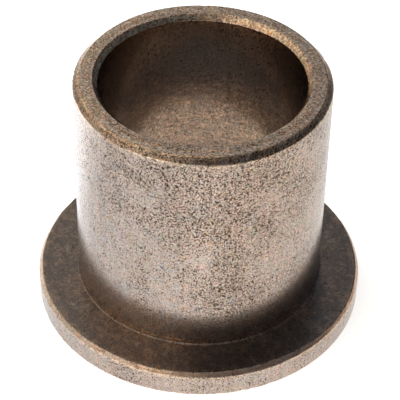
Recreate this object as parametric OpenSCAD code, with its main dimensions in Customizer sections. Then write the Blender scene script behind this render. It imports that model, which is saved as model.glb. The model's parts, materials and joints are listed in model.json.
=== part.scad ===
// Flanged sleeve bushing in oil-filled sintered bronze.
//
// The bushing is pressed as one piece, so its whole shape is a single profile
// turned about the bore axis. It stands on the flange's outer face. The origin is
// the centre of that face, and +Z runs along the bore towards the sleeve's free end.

/* [Sleeve] */
// Outside diameter of the sleeve, which is pressed into the housing
sleeve_d = 45; // [42:0.5:50]
// Bore diameter, which the shaft runs in
bore_d = 36; // [30:0.5:37]
// Overall length, from the flange's outer face to the sleeve's free end
overall_len = 47.5; // [20:0.5:80]

/* [Flange] */
// Flange diameter
flange_d = 60; // [54:0.5:80]
// Flange thickness
flange_t = 5; // [3:0.5:8]

/* [Edges] */
// Lead-in chamfer round the outside of the sleeve's free end
lead_in = 1; // [0.4:0.1:1.4]
// Chamfer at each end of the bore
bore_chamfer = 0.9; // [0.2:0.1:1]
// Broken edge round the flange's rim, on the sleeve's side
rim_break = 0.6; // [0.1:0.05:1]
// Smaller break round the flange's outer face
face_break = 0.15; // [0.05:0.05:0.5]
// Fillet where the sleeve meets the flange
root_fillet = 0.3; // [0.1:0.05:0.8]

/* [Hidden] */
sleeve_r = sleeve_d / 2;
bore_r = bore_d / 2;
flange_r = flange_d / 2;
around = 180;

// Half section of the bushing, with the bore axis along Y and sharp at the root
module section() {
    polygon([
        [bore_r, bore_chamfer],
        [bore_r + bore_chamfer, 0],
        [flange_r - face_break, 0],
        [flange_r, face_break],
        [flange_r, flange_t - rim_break],
        [flange_r - rim_break, flange_t],
        [sleeve_r, flange_t],
        [sleeve_r, overall_len - lead_in],
        [sleeve_r - lead_in, overall_len],
        [bore_r + bore_chamfer, overall_len],
        [bore_r, overall_len - bore_chamfer]
    ]);
}

// Web that fills the root: a square about the corner, less the fillet's circle
module root_web() {
    difference() {
        translate([sleeve_r - root_fillet, flange_t - root_fillet])
            square(2 * root_fillet);
        translate([sleeve_r + root_fillet, flange_t + root_fillet])
            circle(root_fillet, $fn = 32);
    }
}

module flanged_bushing() {
    color([0.65, 0.57, 0.50])
        rotate_extrude($fn = around) {
            section();
            root_web();
        }
}

flanged_bushing();
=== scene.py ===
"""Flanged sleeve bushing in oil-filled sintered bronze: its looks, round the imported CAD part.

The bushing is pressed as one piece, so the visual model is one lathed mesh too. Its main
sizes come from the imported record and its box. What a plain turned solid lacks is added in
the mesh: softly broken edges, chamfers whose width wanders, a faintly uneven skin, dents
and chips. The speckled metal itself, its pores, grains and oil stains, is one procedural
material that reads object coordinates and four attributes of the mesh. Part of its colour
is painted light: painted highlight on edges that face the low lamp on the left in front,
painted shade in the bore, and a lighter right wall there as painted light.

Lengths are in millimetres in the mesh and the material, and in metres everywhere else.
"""

import json
import math

import bpy
import numpy as np
from mathutils import Matrix, Vector, noise


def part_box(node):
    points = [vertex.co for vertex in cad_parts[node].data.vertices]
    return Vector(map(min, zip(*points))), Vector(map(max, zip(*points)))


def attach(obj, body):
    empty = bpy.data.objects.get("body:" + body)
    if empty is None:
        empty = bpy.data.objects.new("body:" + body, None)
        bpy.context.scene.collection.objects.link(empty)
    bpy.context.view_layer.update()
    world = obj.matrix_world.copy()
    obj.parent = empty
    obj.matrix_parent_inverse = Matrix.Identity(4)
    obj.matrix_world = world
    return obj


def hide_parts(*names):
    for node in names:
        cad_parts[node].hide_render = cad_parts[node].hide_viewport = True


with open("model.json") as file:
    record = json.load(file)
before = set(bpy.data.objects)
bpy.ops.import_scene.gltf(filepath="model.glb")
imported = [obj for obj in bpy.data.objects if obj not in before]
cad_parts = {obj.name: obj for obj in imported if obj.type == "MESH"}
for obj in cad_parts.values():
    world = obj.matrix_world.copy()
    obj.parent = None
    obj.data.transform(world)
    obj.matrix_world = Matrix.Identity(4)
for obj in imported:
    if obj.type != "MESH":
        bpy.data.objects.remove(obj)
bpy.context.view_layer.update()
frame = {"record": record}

MM = 0.001
NODE = "flanged_bushing"

# ---------------------------------------------------------------- sizes

mounts = {m["name"]: m for m in frame["record"]["mounts"]}
node_low, node_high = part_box(NODE)

SLEEVE_R = mounts["sleeve_od"]["dims"]["r_mm"]
BORE_R = mounts["bore"]["dims"]["r_mm"]
FLANGE_R = node_high.x / MM
FLANGE_T = mounts["flange_seat"]["pos_m"][2] / MM
LENGTH = node_high.z / MM

# The edges are the CAD part's own, which the record doesn't hold.
LEAD_IN = 1.0  # chamfer outside the free end
BORE_CHAMFER = 0.9  # chamfer at each end of the bore
RIM_BREAK = 0.6  # broken edge of the flange, on the sleeve's side
FACE_BREAK = 0.15  # broken edge of the flange, on its outer face
ROOT_FILLET = 0.3  # between sleeve and flange

RIM_DROP = 1.25  # the rim break's height for its width, now that it has worn
SKIN_DEPTH = 0.012  # how far the skin has worn below the clean surface
SKIN_SWING = 0.022  # and how much more or less it has from place to place
BARE_DEPTH = 0.05  # of a dent that shows as much bare metal as any
LOOSE_SIDE = 274.0  # degrees round from +X where the powder packed least tightly
LIT_EDGE_SIDE = 232.0  # where the edges are brightest: rubbed, and painted highlight where they face the low lamp on the left in front
RUDDY_SIDE = 305.0  # where the flange's edge is rubbed to a copper colour
LIT_BORE_SIDE = 0.0  # where the bore's wall faces the lamp on the left, and its stain is thinned as painted light
HIGHEST_VALUE = 1.5  # of any of the mesh's attributes
SEGMENTS = 576
SEED = 41


# ---------------------------------------------------------------- lathed body


def wander(angles, amount, waves, shift):
    """A smooth value round the circle, about plus or minus amount, that closes on itself."""
    reach = waves / math.tau
    return amount * np.array([
        2 * noise.noise(Vector((reach * math.cos(a), reach * math.sin(a), shift)))
        for a in angles
    ])


def corners(angles):
    """The section's corners at each angle, as (r, z, rounding), going up the outside.

    Rounding is how far from the corner its arc begins. The two chamfers at the free end and
    the break of the flange's rim wander a little in width."""
    lead_down = LEAD_IN * (1 + wander(angles, 0.16, 9, 3.1) + wander(angles, 0.05, 60, 7.7))
    lead_in = LEAD_IN * (1 + wander(angles, 0.10, 7, 12.4))
    bore_down = BORE_CHAMFER * (1 + wander(angles, 0.10, 8, 21.9))
    bore_out = BORE_CHAMFER * (1 + wander(angles, 0.14, 6, 30.2) + wander(angles, 0.04, 50, 2.2))
    rim_in = RIM_BREAK * (1 + wander(angles, 0.18, 10, 44.0) + wander(angles, 0.08, 70, 9.3))
    rim_wander = wander(angles, 0.14, 8, 51.6) + wander(angles, 0.10, 64, 15.8)
    rim_down = RIM_BREAK * (RIM_DROP + rim_wander)
    one = np.ones_like(angles)
    rows = [
        (BORE_R * one, BORE_CHAMFER * one, 0.15),
        ((BORE_R + BORE_CHAMFER) * one, 0 * one, 0.15),
        ((FLANGE_R - FACE_BREAK) * one, 0 * one, 0.08),
        (FLANGE_R * one, FACE_BREAK * one, 0.08),
        (FLANGE_R * one, FLANGE_T - rim_down, 0.28),
        (FLANGE_R - rim_in, FLANGE_T * one, 0.16),
        (SLEEVE_R * one, FLANGE_T * one, ROOT_FILLET),
        (SLEEVE_R * one, LENGTH - lead_down, 0.30),
        (SLEEVE_R - lead_in, LENGTH * one, 0.13),
        (BORE_R + bore_out, LENGTH * one, 0.13),
        (BORE_R * one, LENGTH - bore_down, 0.16),
    ]
    points = np.array([(r, z) for r, z, _ in rows]).transpose(2, 0, 1)
    return points, [rounding for _, _, rounding in rows]


# Rings between the corners, stretch by stretch, starting from the lower bore chamfer.
STRETCH_RINGS = (3, 12, 2, 10, 4, 14, 30, 5, 8, 5, 22)
ARC_STEPS = 4
ARC_REACH = 0.05  # how much of a station a corner's arc takes on each side


def profile(angles):
    """Points of the section at each angle, and each ring's station: corner number plus share."""
    points, rounding = corners(angles)
    count = len(rounding)
    rings, stations = [], []
    for i in range(count):
        here, before, after = points[:, i], points[:, i - 1], points[:, (i + 1) % count]
        span_in = np.linalg.norm(before - here, axis=1, keepdims=True)
        span_out = np.linalg.norm(after - here, axis=1, keepdims=True)
        start = here + (before - here) / span_in * rounding[i]
        end = here + (after - here) / span_out * rounding[i]
        for k in range(ARC_STEPS + 1):
            t = k / ARC_STEPS
            rings.append((1 - t) ** 2 * start + 2 * t * (1 - t) * here + t**2 * end)
            stations.append(i + 2 * ARC_REACH * (t - 0.5))
        next_start = after + (here - after) / span_out * rounding[(i + 1) % count]
        inner = STRETCH_RINGS[i]
        for k in range(1, inner + 1):
            share = (1 - math.cos(math.pi * k / (inner + 1))) / 2
            rings.append((1 - share) * end + share * next_start)
            stations.append(i + ARC_REACH + (1 - 2 * ARC_REACH) * share)
    return np.stack(rings), np.array(stations)


def dents(rng):
    """Small dents and chips: (angle in degrees, r, z, reach, depth), the last four in mm."""
    rim_top = (FLANGE_R - 0.2, FLANGE_T - 0.2)
    lead_low = (SLEEVE_R, LENGTH - LEAD_IN)
    bore_edge = (BORE_R, LENGTH - BORE_CHAMFER)
    # A few larger ones come first, and then small ones at random.
    made = [
        (250.0, *rim_top, 0.9, 0.16),
        (254.0, *rim_top, 0.5, 0.08),
        (238.0, *bore_edge, 0.7, 0.15),
        (258.5, *lead_low, 0.6, 0.10),
        (228.0, *lead_low, 0.9, 0.08),
        (262.0, FLANGE_R, FLANGE_T * 0.45, 0.8, 0.05),
    ]
    edges = [
        (rim_top, 46, 0.10),
        ((FLANGE_R - 0.2, 0.2), 30, 0.10),
        (lead_low, 22, 0.06),
        ((SLEEVE_R - LEAD_IN, LENGTH), 20, 0.06),
        ((BORE_R + BORE_CHAMFER, LENGTH), 18, 0.05),
        (bore_edge, 16, 0.06),
    ]
    for place, number, depth in edges:
        for _ in range(number):
            made.append((rng.uniform(0, 360), *place,
                         rng.uniform(0.3, 0.8), depth * rng.uniform(0.3, 1)))
    for _ in range(70):
        made.append((rng.uniform(0, 360), SLEEVE_R, rng.uniform(FLANGE_T + 1, LENGTH - 2),
                     rng.uniform(0.4, 0.9), rng.uniform(0.008, 0.03)))
    for _ in range(60):
        made.append((rng.uniform(0, 360), rng.uniform(SLEEVE_R + 1, FLANGE_R - 1), FLANGE_T,
                     rng.uniform(0.4, 0.9), rng.uniform(0.01, 0.04)))
    for _ in range(30):
        made.append((rng.uniform(0, 360), FLANGE_R, rng.uniform(0.8, FLANGE_T - 0.8),
                     rng.uniform(0.4, 0.9), rng.uniform(0.01, 0.04)))
    return made


def by_station(stations, values):
    """Interpolates (station, value) pairs onto the rings, as a column."""
    at = [k for k, _ in values]
    return np.interp(stations, at, [v for _, v in values])[:, None]


def lobe(angles, side):
    """1 at a side of the part, given in degrees, and 0 from a quarter turn away."""
    return np.clip(np.cos(angles - math.radians(side)), 0, 1)


# How worn and bright, how oily and stained, how open-pored and how rough the section is, by
# station: 2.0 is the third corner and 2.5 the middle of the stretch after it. The stretches
# from 0 to 10 are the lower bore chamfer, the outer face, its broken edge, the flange's side,
# the rim's broken edge, the flange's inner face, the sleeve, the lead-in chamfer, the end
# face, the upper bore chamfer and the bore. A new row starts with each. Some of the bright
# wear is painted highlight, and some of the stain in the bore is painted shade.
WEAR_AND_GLINT = [
    (0, 0.3), (0.5, 0.2),
    (1, 0.3), (1.5, 0), (1.9, 0),
    (2, 0.4), (2.5, 0.4),
    (3, 0.3), (3.1, 0), (3.9, 0), (3.96, 0.5),
    # The rim's broken edge: wear, brightened further as painted highlight.
    (4, 0.9), (4.5, 1.3),
    (5, 0.9), (5.05, 0.1), (5.3, 0),
    # The lead-in chamfer's lower edge: a bright line of wear and painted highlight.
    (6.93, 0), (6.945, 0.7), (6.97, 1),
    (7.03, 1), (7.05, 0.2), (7.96, 0),
    (8, 0.3), (8.05, 0), (8.95, 0),
    (9, 0.2), (9.05, 0), (9.95, 0),
    (10, 0.5), (10.05, 0.1), (10.4, 0), (11, 0.3),
]
STAIN_AND_SHADE = [
    (0, 1.3), (0.5, 0.6),
    (1, 0.6), (1.5, 0.6),
    (2, 0.3),
    (3, 0), (3.95, 0),
    (4.05, 0.35), (4.95, 0.45),
    (5.03, 0.9), (5.2, 1), (5.7, 0.97),
    (6, 0.95), (6.045, 0.95), (6.06, 0.2), (6.07, 0), (6.98, 0),
    (7.03, 0.72), (7.5, 0.8), (7.97, 0.45),
    (8.03, 0.34), (8.15, 0.26), (8.3, 0.02), (8.45, 0.28), (8.6, 0.38), (8.8, 0.06),
    (8.9, 0.1), (8.97, 0.5),
    (9.03, 0.6), (9.5, 0.5),
    # The bore: oil stain, made heavier as painted shade.
    (10, 0.5), (10.06, 1), (10.1, 1.3), (10.22, 1.3), (10.3, 1.02), (10.4, 0.84),
    (10.62, 0.8), (10.7, 1.4), (11, 1.4),
]
POROUS = [
    (0, 0.5),
    (1, 0.5),
    (2, 0.4),
    (3, 0.6), (3.9, 0.7),
    (4, 1), (4.5, 1.1),
    (5, 1), (5.1, 0.4), (5.5, 0.4), (5.93, 0.6),
    (6, 0.8), (6.07, 0.7), (6.4, 0.8), (6.8, 1.05),
    (7, 1.05), (7.5, 1),
    (8, 0.7), (8.3, 0.45), (8.6, 0.85), (8.8, 0.5), (8.95, 0.7),
    (9, 1.2), (9.1, 0.7),
    (10, 0.7), (10.06, 1), (10.4, 0.9), (10.5, 0.7), (11, 0.5),
]
FINISH = [
    (0, 0.22), (0.5, 0.3),
    (1, 0.32), (1.5, 0.34),
    (2, 0.3),
    (3, 0.27),
    (4, 0.27), (4.5, 0.3),
    (5, 0.32), (5.5, 0.36), (5.95, 0.4),
    (6, 0.55), (6.06, 0.18), (6.13, 0.2), (6.25, 0.24), (6.5, 0.26), (6.94, 0.26),
    (7, 0.15), (7.06, 0.3), (7.5, 0.33),
    (8, 0.34), (8.5, 0.34),
    (9, 0.34), (9.5, 0.28),
    (10, 0.2), (10.1, 0.17), (11, 0.17),
]
MID_SLEEVE = 6.5  # a station, and so is the next
BELOW_BORE_EDGE = 10.03


def worn_surface(clean):
    """The clean surface's points after uneven wear and dents, and how hurt each one is."""
    around = np.roll(clean, -1, axis=1) - np.roll(clean, 1, axis=1)
    along = np.roll(clean, -1, axis=0) - np.roll(clean, 1, axis=0)
    outward = np.cross(around, along)
    outward /= np.linalg.norm(outward, axis=2, keepdims=True)

    uneven = np.array([
        0.5 * noise.noise(Vector(p) * 0.16) + 0.3 * noise.noise(Vector(p) * 0.55)
        + 0.2 * noise.noise(Vector(p) * 1.9)
        for p in clean.reshape(-1, 3)
    ]).reshape(clean.shape[:2])
    depth = np.clip(SKIN_DEPTH + SKIN_SWING * uneven, 0, None)

    hurt = np.zeros_like(depth)
    for degrees, r, z, reach, deep in dents(np.random.default_rng(SEED)):
        a = math.radians(degrees)
        centre = np.array([r * math.cos(a), r * math.sin(a), z])
        away = np.linalg.norm(clean - centre, axis=2) / reach
        bite = np.clip(1 - away**2, 0, 1) ** 2
        depth += deep * bite
        hurt = np.maximum(hurt, bite * min(1, deep / BARE_DEPTH))
    return clean - outward * depth[:, :, None], hurt


def surface_values(angles, stations, hurt):
    """The four values of every point that the material reads."""
    packing = 0.78 + 0.30 * lobe(angles, LOOSE_SIDE) ** 3
    # The upper edges brighten towards the low lamp on the left in front: wear and painted
    # highlight.
    lit_edge_share = 0.30 + 0.70 * lobe(angles, LIT_EDGE_SIDE) ** 2
    ruddy = 0.78 + 0.42 * lobe(angles, RUDDY_SIDE)
    # The bore's stain thins on its right wall, which faces the lamp on the left: painted light.
    painted_bore_light = 1 - 0.2 * lobe(angles, LIT_BORE_SIDE)
    rubbed_and_lit = np.where(stations[:, None] > MID_SLEEVE, lit_edge_share, ruddy)
    bore_light_on_stain = np.where(stations[:, None] > BELOW_BORE_EDGE, painted_bore_light, 1.0)
    return {
        "wear_and_glint": by_station(stations, WEAR_AND_GLINT) * rubbed_and_lit + 0.5 * hurt,
        "stain_and_shade": by_station(stations, STAIN_AND_SHADE) * bore_light_on_stain,
        "porous": by_station(stations, POROUS) * packing,
        "finish": by_station(stations, FINISH) * np.ones_like(angles),
    }


def bushing_mesh(name):
    """The lathed body: a closed mesh with four attributes: wear with painted highlight, stain
    with painted shade in the bore, porous and finish.
    """
    angles = np.arange(SEGMENTS) * math.tau / SEGMENTS
    rings, stations = profile(angles)
    radius, height = rings[:, :, 0], rings[:, :, 1]
    clean = np.stack([radius * np.cos(angles), radius * np.sin(angles), height], axis=2)
    worn, hurt = worn_surface(clean)

    index = np.arange(radius.size).reshape(radius.shape)
    up, on = np.roll(index, -1, axis=0), np.roll(index, -1, axis=1)
    both = np.roll(up, -1, axis=1)
    quads = np.stack([index, on, both, up], axis=2).reshape(-1, 4)
    mesh = bpy.data.meshes.new(name)
    mesh.from_pydata((worn.reshape(-1, 3) * MM).tolist(), [], quads.tolist())
    mesh.shade_smooth()

    for key, values in surface_values(angles, stations, hurt).items():
        layer = mesh.attributes.new(key, "FLOAT", "POINT")
        values = np.clip(values, 0, HIGHEST_VALUE).astype(np.float32)
        layer.data.foreach_set("value", values.ravel())
    mesh.validate()
    return mesh


# ---------------------------------------------------------------- material


class Nodes:
    """Short calls for building one node tree."""

    def __init__(self, tree):
        self.tree = tree
        tree.nodes.clear()

    def add(self, kind, settings=None, **inputs):
        node = self.tree.nodes.new(kind)
        for key, value in (settings or {}).items():
            setattr(node, key, value)
        for key, value in inputs.items():
            self.put(node.inputs[key.replace("_", " ")], value)
        return node

    def put(self, socket, value):
        if isinstance(value, bpy.types.NodeSocket):
            self.tree.links.new(value, socket)
        else:
            socket.default_value = value

    def math(self, operation, a, b=0.0, clamp=False):
        node = self.tree.nodes.new("ShaderNodeMath")
        node.operation, node.use_clamp = operation, clamp
        self.put(node.inputs[0], a)
        self.put(node.inputs[1], b)
        return node.outputs[0]

    def noise(self, place, scale, detail, rough, shift):
        node = self.add("ShaderNodeTexNoise", {"noise_dimensions": "4D"},
                        Vector=place, W=shift, Scale=scale, Detail=detail, Roughness=rough)
        return node.outputs["Fac"]

    def steps(self, value, low, high, to_low=0.0, to_high=1.0, smooth=False):
        """Goes from to_low to to_high as the value goes from low to high, and no further."""
        node = self.add("ShaderNodeMapRange",
                        {"interpolation_type": "SMOOTHSTEP" if smooth else "LINEAR"},
                        Value=value)
        for key, number in (("From Min", low), ("From Max", high),
                            ("To Min", to_low), ("To Max", to_high)):
            self.put(node.inputs[key], number)
        return node.outputs["Result"]

    def mix(self, share, a, b, blend="MIX"):
        """Blends two colours; the numbered sockets are the node's colour ones."""
        node = self.tree.nodes.new("ShaderNodeMix")
        node.data_type, node.blend_type = "RGBA", blend
        self.put(node.inputs["Factor"], share)
        self.put(node.inputs[6], a)
        self.put(node.inputs[7], b)
        return node.outputs[2]

    def tint(self, base, colour, share=1.0):
        """Multiplies one colour by another."""
        return self.mix(share, base, colour, "MULTIPLY")

    def shade(self, base, value):
        """Multiplies a colour by a plain number."""
        grey = self.add("ShaderNodeCombineColor", Red=value, Green=value, Blue=value)
        return self.tint(base, grey.outputs["Color"])

    def stretch(self, place, factors):
        """Multiplies a vector by three fixed factors."""
        node = self.add("ShaderNodeVectorMath", {"operation": "MULTIPLY"})
        self.put(node.inputs[0], place)
        self.put(node.inputs[1], factors)
        return node.outputs[0]

    def length(self, place):
        node = self.add("ShaderNodeVectorMath", {"operation": "LENGTH"})
        self.put(node.inputs[0], place)
        return node.outputs["Value"]

    def xyz(self, place):
        node = self.add("ShaderNodeSeparateXYZ", Vector=place)
        return [node.outputs[axis] for axis in "XYZ"]

    def ramp(self, value, stops, kind="LINEAR"):
        node = self.add("ShaderNodeValToRGB", Fac=value)
        node.color_ramp.interpolation = kind
        elements = node.color_ramp.elements
        while len(elements) < len(stops):
            elements.new(0.5)
        for element, (position, colour) in zip(elements, stops):
            element.position, element.color = position, (*colour, 1)
        return node.outputs["Color"]


ALLOY = (0.53, 0.426, 0.368)
PINK = (0.60, 0.412, 0.34)
COPPER = (0.66, 0.38, 0.23)
GOLD = (0.66, 0.46, 0.29)
SLATE = (0.445, 0.42, 0.405)
PALE = (0.70, 0.60, 0.52)
SMOKE = (0.26, 0.20, 0.16)
BROWN = (0.30, 0.19, 0.12)
STRAW = (0.58, 0.42, 0.27)
MOSS = (0.47, 0.445, 0.33)
PORE = (0.034, 0.015, 0.007)

# These multiply the colour of the metal that lies under them.
CLEAR = (1.0, 1.0, 1.0)
SCORCH = (1.16, 0.96, 0.70)
LIP = (1.20, 1.20, 1.19)
LAND = (0.95, 0.96, 0.975)
GRIT_DARK = (0.55, 0.50, 0.42)
GRIT_PALE = (1.40, 1.44, 1.52)
TAN = (1.36, 1.14, 0.86)
OIL = (0.355, 0.345, 0.335)
SLUDGE_AND_SHADE = (0.33, 0.38, 0.43)
OLIVE = (0.60, 0.64, 0.50)
RUST = (1.08, 0.80, 0.58)

# Tone, noise scale per millimetre, noise shift, and the noise values that it fades in between.
PATCHES = [
    (PINK, 0.50, 5.0, 0.50, 0.64),
    (SLATE, 0.42, 71.0, 0.52, 0.66),
    (MOSS, 0.62, 79.0, 0.53, 0.64),
    (STRAW, 0.75, 73.0, 0.53, 0.66),
]


def rgba(colour):
    return (*colour, 1)


def grains(n, mm, stain_and_shade):
    """Cells of bonded powder, each with its own tint, under patches a few millimetres wide."""
    cells = n.add("ShaderNodeTexVoronoi", {"voronoi_dimensions": "3D", "feature": "F1"},
                  Vector=mm, Scale=3.1, Randomness=1.0)
    chance = n.add("ShaderNodeSeparateColor", Color=cells.outputs["Color"]).outputs["Red"]
    tint = n.ramp(chance, [
        (0.0, SMOKE), (0.10, ALLOY), (0.42, PINK), (0.55, ALLOY),
        (0.74, SLATE), (0.84, PALE), (0.94, COPPER)], "CONSTANT")
    metal = n.mix(0.17, rgba(ALLOY), tint)
    showing = n.steps(stain_and_shade, 0.3, 1.0, 0.62, 0.12)
    for tone, scale, shift, low, high in PATCHES:
        patch = n.steps(n.noise(mm, scale, 4.0, 0.65, shift), low, high, smooth=True)
        metal = n.mix(n.math("MULTIPLY", patch, showing), metal, rgba(tone))
    return metal


def powder_grit(n, mm):
    """The powder's own light and dark, with faint streaks along the axis from sizing."""
    streak = n.noise(n.stretch(mm, (1.0, 1.0, 0.05)), 1.4, 3.0, 0.6, 61.0)
    light = n.steps(n.noise(mm, 4.6, 3.0, 0.7, 53.0), 0.3, 0.7)
    grit = n.mix(light, rgba(GRIT_DARK), rgba(GRIT_PALE))
    return n.shade(grit, n.steps(streak, 0.3, 0.7, 0.90, 1.10))


def open_pores(n, mm, porous, metal):
    """Pores in drifts where the powder packed less tightly, and the metal marked by them."""
    drift = n.noise(mm, 0.16, 4.0, 0.6, 11.0)
    density = n.math("MULTIPLY", porous, n.steps(drift, 0.3, 0.7, 0.55, 1.35))
    limit = n.steps(density, 0.0, 1.0, 0.34, 0.474)
    fine = n.noise(mm, 5.0, 2.0, 0.65, 2.0)
    coarse = n.noise(mm, 2.9, 2.5, 0.65, 8.0)
    rare = n.noise(mm, 2.1, 1.0, 0.5, 97.0)
    gap = n.math("SUBTRACT", limit, coarse)
    fine_pores = n.steps(n.math("SUBTRACT", limit, fine), -0.005, 0.055)
    coarse_pores = n.steps(gap, 0.020, 0.065)
    pits = n.steps(n.math("SUBTRACT", limit, rare), 0.125, 0.150)
    pores = n.math("MAXIMUM", n.math("MAXIMUM", fine_pores, coarse_pores), pits, clamp=True)

    # A pore's very edge is scorched brown, and sizing burnishes the metal round it.
    beside = n.steps(n.math("SUBTRACT", fine, limit), 0.0, 0.10)
    metal = n.tint(metal, n.ramp(beside, [(0.0, SCORCH), (0.25, LIP), (0.75, LAND)]))
    # The metal darkens towards the larger pores.
    metal = n.mix(n.steps(gap, -0.03, 0.03, 0.0, 0.45), metal, rgba(BROWN))
    return pores, metal


def oil_film(n, mm, stain_and_shade):
    """The tint of oil and dirt on faces that weren't sized: thin it is tan, and thick dark. The
    thick dark film in the bore is also painted shade, thinned on its right wall as painted
    light.
    """
    cloud = n.noise(mm, 0.35, 4.0, 0.62, 17.0)
    dapple = n.noise(mm, 1.5, 3.0, 0.65, 23.0)
    soil_and_shade = n.math("MULTIPLY", stain_and_shade, n.steps(cloud, 0.3, 0.7, 0.88, 1.09))
    soil_and_shade = n.math("MULTIPLY", soil_and_shade, n.steps(dapple, 0.3, 0.7, 0.56, 0.78), clamp=True)
    film_and_shade = n.ramp(soil_and_shade, [(0.0, CLEAR), (0.30, TAN), (0.67, OIL), (0.95, SLUDGE_AND_SHADE)])
    blotch = n.noise(mm, 1.1, 3.0, 0.6, 29.0)
    hue = n.mix(n.steps(blotch, 0.51, 0.62), rgba(CLEAR), rgba(RUST))
    hue = n.mix(n.steps(blotch, 0.48, 0.37), hue, rgba(OLIVE))
    blotched = n.ramp(soil_and_shade, [
        (0.0, (0, 0, 0)), (0.26, CLEAR), (0.42, (0.5, 0.5, 0.5)), (0.62, (0.1, 0.1, 0.1))])
    return n.mix(blotched, film_and_shade, n.tint(film_and_shade, hue))


def rubbing_marks(n, mm, stain_and_shade, metal):
    """Mottles the half-cleaned faces, and runs faint tool rings round every face."""
    patchy = n.math("MULTIPLY", n.steps(stain_and_shade, 0.0, 0.05),
                    n.steps(stain_and_shade, 0.60, 0.98, 1.0, 0.10))
    mottle = n.steps(n.noise(mm, 2.4, 4.0, 0.75, 67.0), 0.36, 0.64, -0.66, 0.92)
    metal = n.shade(metal, n.math("ADD", n.math("MULTIPLY", patchy, mottle), 1.0))

    x, _, z = n.xyz(mm)
    radius = n.length(n.stretch(mm, (1.0, 1.0, 0.0)))
    ring_place = n.add("ShaderNodeCombineXYZ", X=radius, Y=z, Z=n.math("MULTIPLY", x, 0.10))
    ring = n.noise(ring_place.outputs["Vector"], 1.5, 3.0, 0.6, 83.0)
    ring = n.math("MULTIPLY", n.steps(ring, 0.3, 0.7, -1.0, 1.0),
                  n.steps(patchy, 0.0, 1.0, 0.07, 0.30))
    return n.shade(metal, n.math("ADD", ring, 1.0))


def bare_metal_and_glint(n, mm, wear_and_glint, grit):
    """The clean gold to copper colour of rubbed edges, and how much of it shows; towards the low
    lamp on the left in front it is also painted highlight.
    """
    rub_and_glint = n.steps(n.noise(mm, 1.3, 3.0, 0.6, 31.0), 0.32, 0.56)
    rub_and_glint = n.math("MULTIPLY", wear_and_glint, rub_and_glint, clamp=True)
    bright = n.mix(n.noise(mm, 0.5, 2.0, 0.5, 37.0), rgba(GOLD), rgba(PALE))
    bright = n.mix(n.steps(wear_and_glint, 0.95, 1.35, 0.0, 0.95), bright, rgba(COPPER))
    return rub_and_glint, n.tint(bright, grit, 0.6)


def bronze_material():
    """Sintered bronze: grains, pores, patches of tint, oil stains and worn bright edges, some of
    them painted highlight, with painted shade in the bore.
    """
    material = bpy.data.materials.new("sintered_bronze_speckled")
    material.use_nodes = True
    n = Nodes(material.node_tree)

    place = n.add("ShaderNodeTexCoord").outputs["Object"]
    mm = n.stretch(place, (1 / MM, 1 / MM, 1 / MM))
    wear_and_glint, stain_and_shade, porous, finish = (
        n.add("ShaderNodeAttribute", {"attribute_name": key}).outputs["Fac"]
        for key in ("wear_and_glint", "stain_and_shade", "porous", "finish"))

    grit = powder_grit(n, mm)
    metal = n.tint(grains(n, mm, stain_and_shade), grit)
    pores, metal = open_pores(n, mm, porous, metal)
    metal = n.tint(metal, oil_film(n, mm, stain_and_shade))
    metal = rubbing_marks(n, mm, stain_and_shade, metal)
    rub_and_glint, bright = bare_metal_and_glint(n, mm, wear_and_glint, grit)
    metal = n.mix(rub_and_glint, metal, bright)

    # Rubbing closes most of the pores that it passes over, and the painted highlight on the
    # edges hides them too.
    pores = n.math("MULTIPLY", pores, n.steps(rub_and_glint, 0.0, 1.0, 1.0, 0.35))
    colour = n.mix(pores, metal, rgba(PORE))

    uneven = n.steps(n.noise(mm, 0.9, 3.0, 0.6, 41.0), 0.3, 0.7, 0.8, 1.2)
    rough = n.math("MULTIPLY", finish, uneven)
    rough = n.math("ADD", rough, n.math("MULTIPLY", rub_and_glint, 0.05))
    rough = n.math("ADD", rough, n.math("MULTIPLY", pores, 0.10), clamp=True)

    # The pores sink, and the skin between them is faintly uneven.
    skin = n.math("MULTIPLY", n.noise(mm, 1.1, 3.0, 0.5, 47.0), 0.3)
    height = n.math("ADD", n.math("MULTIPLY", pores, -1.0), skin)
    bump = n.add("ShaderNodeBump", Strength=0.35, Distance=0.03 * MM, Height=height)

    shader = n.add("ShaderNodeBsdfPrincipled", Base_Color=colour, Roughness=rough,
                   Normal=bump.outputs["Normal"], Metallic=1.0,
                   Specular_Tint=(0.8, 0.8, 0.8, 1), Coat_Weight=0.5,
                   Coat_Roughness=0.22, Coat_IOR=1.45)
    output = n.add("ShaderNodeOutputMaterial")
    n.put(output.inputs["Surface"], shader.outputs["BSDF"])
    return material


# ---------------------------------------------------------------- stage, light and camera

FLOOR_REACH = 1.4
FLOOR_SIDES = 96
TABLE_WHITE = (0.86, 0.86, 0.86)
COOL_GLOW = (0.95, 1.0, 1.06)
WARM_GLOW = (1.05, 1.0, 0.92)


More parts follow.
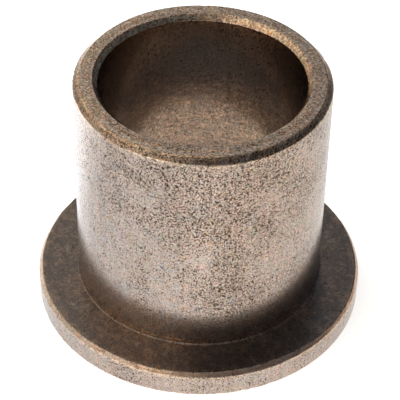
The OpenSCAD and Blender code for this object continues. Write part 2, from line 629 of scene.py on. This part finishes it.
def painted_table_light(n, place):
    """How strongly the table shines, and its tone.

    It is a painted pool of light round the part, brighter behind it on the left, with painted
    shade where the bore stands, to the right, in front on the left and far away."""
    x, y, _ = n.xyz(place)
    away = n.length(place)
    # A painted pool of light round the part, fading out far away.
    glow = n.steps(away, 0.10, 0.42, 0.84, 0.10, smooth=True)
    # Painted shade where the bore stands on the table.
    glow = n.math("MULTIPLY", glow, n.steps(away, 0.015, 0.021, 0.85, 1.0))
    # Painted shadow to the right of the part.
    glow = n.math("MULTIPLY", glow, n.steps(x, 0.01, 0.06, 1.0, 0.78, smooth=True))
    # A brighter painted pool of light behind the part on the left.
    painted_light_pool = n.math("MULTIPLY", n.steps(y, 0.006, 0.026, smooth=True),
                       n.steps(x, -0.015, -0.040, smooth=True))
    glow = n.math("ADD", glow, n.math("MULTIPLY", painted_light_pool, 0.66))
    # Painted shade in front on the left.
    painted_shade_front_left = n.math("MULTIPLY", n.steps(y, 0.012, -0.01, smooth=True),
                        n.steps(x, 0.0, -0.03, smooth=True))
    glow = n.math("SUBTRACT", glow, n.math("MULTIPLY", painted_shade_front_left, 0.24))
    return glow, n.mix(n.steps(x, -0.04, 0.05), rgba(COOL_GLOW), rgba(WARM_GLOW))


def make_floor():
    """A pale round table top that glows faintly like a light table, with painted pools of light
    and shade round the part.
    """
    mesh = bpy.data.meshes.new("floor")
    rim = [(FLOOR_REACH * math.cos(a), FLOOR_REACH * math.sin(a), 0)
           for a in np.arange(FLOOR_SIDES) * math.tau / FLOOR_SIDES]
    mesh.from_pydata(rim, [], [tuple(range(FLOOR_SIDES))])
    floor = bpy.data.objects.new("floor", mesh)
    bpy.context.scene.collection.objects.link(floor)
    material = bpy.data.materials.new("pale_table")
    material.use_nodes = True
    n = Nodes(material.node_tree)
    glow, tone = painted_table_light(n, n.add("ShaderNodeTexCoord").outputs["Object"])
    shader = n.add("ShaderNodeBsdfPrincipled", Base_Color=rgba(TABLE_WHITE), Roughness=0.9,
                   Specular_IOR_Level=0.0, Emission_Color=tone, Emission_Strength=glow)
    output = n.add("ShaderNodeOutputMaterial")
    n.put(output.inputs["Surface"], shader.outputs["BSDF"])
    mesh.materials.append(material)


LIT_POINT = Vector((0, 0, 0.02))


def softbox(name, place, size, power, colour=(1, 1, 1), mirrored=True):
    """A rectangular lamp that faces the part, and shows in its gloss if it is mirrored."""
    light = bpy.data.lights.new(name, "AREA")
    light.shape, light.size, light.size_y = "RECTANGLE", size[0], size[1]
    light.energy, light.color = power, colour
    lamp = bpy.data.objects.new(name, light)
    lamp.location = place
    lamp.rotation_euler = (Vector(place) - LIT_POINT).to_track_quat("Z", "Y").to_euler()
    lamp.visible_glossy = mirrored
    bpy.context.scene.collection.objects.link(lamp)


WINDOW_WAY = (-0.62, -0.38, 0.68)
DIM_TONE = (0.76, 0.97, 1.32)
BRIGHT_TONE = (1.0, 0.99, 0.96)


def make_world():
    """A pale room, bright to the left and dim and bluish to the right, with a window high on
    the left in front."""
    world = bpy.data.worlds.new("studio")
    world.use_nodes = True
    bpy.context.scene.world = world
    n = Nodes(world.node_tree)
    way = n.add("ShaderNodeTexCoord").outputs["Generated"]
    x, y, z = n.xyz(way)
    horizon = n.steps(x, 0.0, 0.5, 0.56, 0.10, smooth=True)
    lean = n.math("SUBTRACT", x, n.math("MULTIPLY", y, 0.15))
    above = n.steps(lean, -0.35, 0.15, 0.70, 0.11, smooth=True)
    level = n.add("ShaderNodeMix", {"data_type": "FLOAT"})
    n.put(level.inputs["Factor"], n.steps(z, 0.12, 0.60, smooth=True))
    n.put(level.inputs[2], horizon)
    n.put(level.inputs[3], above)
    towards = n.add("ShaderNodeVectorMath", {"operation": "DOT_PRODUCT"})
    n.put(towards.inputs[0], way)
    n.put(towards.inputs[1], WINDOW_WAY)
    window = n.steps(towards.outputs["Value"], 0.82, 0.97, 0.0, 0.20, smooth=True)
    level = n.math("ADD", level.outputs[0], window)
    tone = n.mix(n.steps(level, 0.10, 0.50), rgba(DIM_TONE), rgba(BRIGHT_TONE))
    background = n.add("ShaderNodeBackground", Color=tone, Strength=level)
    output = n.add("ShaderNodeOutputWorld")
    n.put(output.inputs["Surface"], background.outputs["Background"])


def make_camera():
    """The close, high three-quarter view: 41 degrees down on the axis, from 0.3 m."""
    elevation, roll = math.radians(41.17), math.radians(1.24)
    aim = Vector((-0.00006, 0, 0.01947))
    distance = 0.3003
    back = Vector((0, -math.cos(elevation), math.sin(elevation)))
    up = Vector((0, math.sin(elevation), math.cos(elevation)))
    right = Vector((1, 0, 0))
    across = math.cos(roll) * right + math.sin(roll) * up
    upward = math.cos(roll) * up - math.sin(roll) * right
    lens = bpy.data.cameras.new("camera")
    lens.lens, lens.sensor_width = 148.2, 36.0
    lens.clip_start, lens.clip_end = 0.01, 10.0
    camera = bpy.data.objects.new("camera", lens)
    turn = Matrix((across, upward, back)).transposed().to_4x4()
    camera.matrix_world = Matrix.Translation(aim + back * distance) @ turn
    bpy.context.scene.collection.objects.link(camera)
    bpy.context.scene.camera = camera


make_floor()
make_world()
softbox("overhead", (-0.05, 0.10, 0.80), (0.7, 0.7), 0.5)
softbox("left", (-0.36, 0.46, 0.30), (0.4, 0.3), 1.7, (0.84, 0.94, 1.0), mirrored=False)
softbox("low_left", (-0.44, -0.57, 0.09), (0.75, 0.10), 0.75)
make_camera()
bpy.context.scene.view_settings.view_transform = "Standard"
bpy.context.scene.cycles.glossy_bounces = 8

body = bpy.data.objects.new("bushing_body", bushing_mesh("bushing_body"))
bpy.context.scene.collection.objects.link(body)
body.data.materials.append(bronze_material())
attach(body, "root")
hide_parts(NODE)
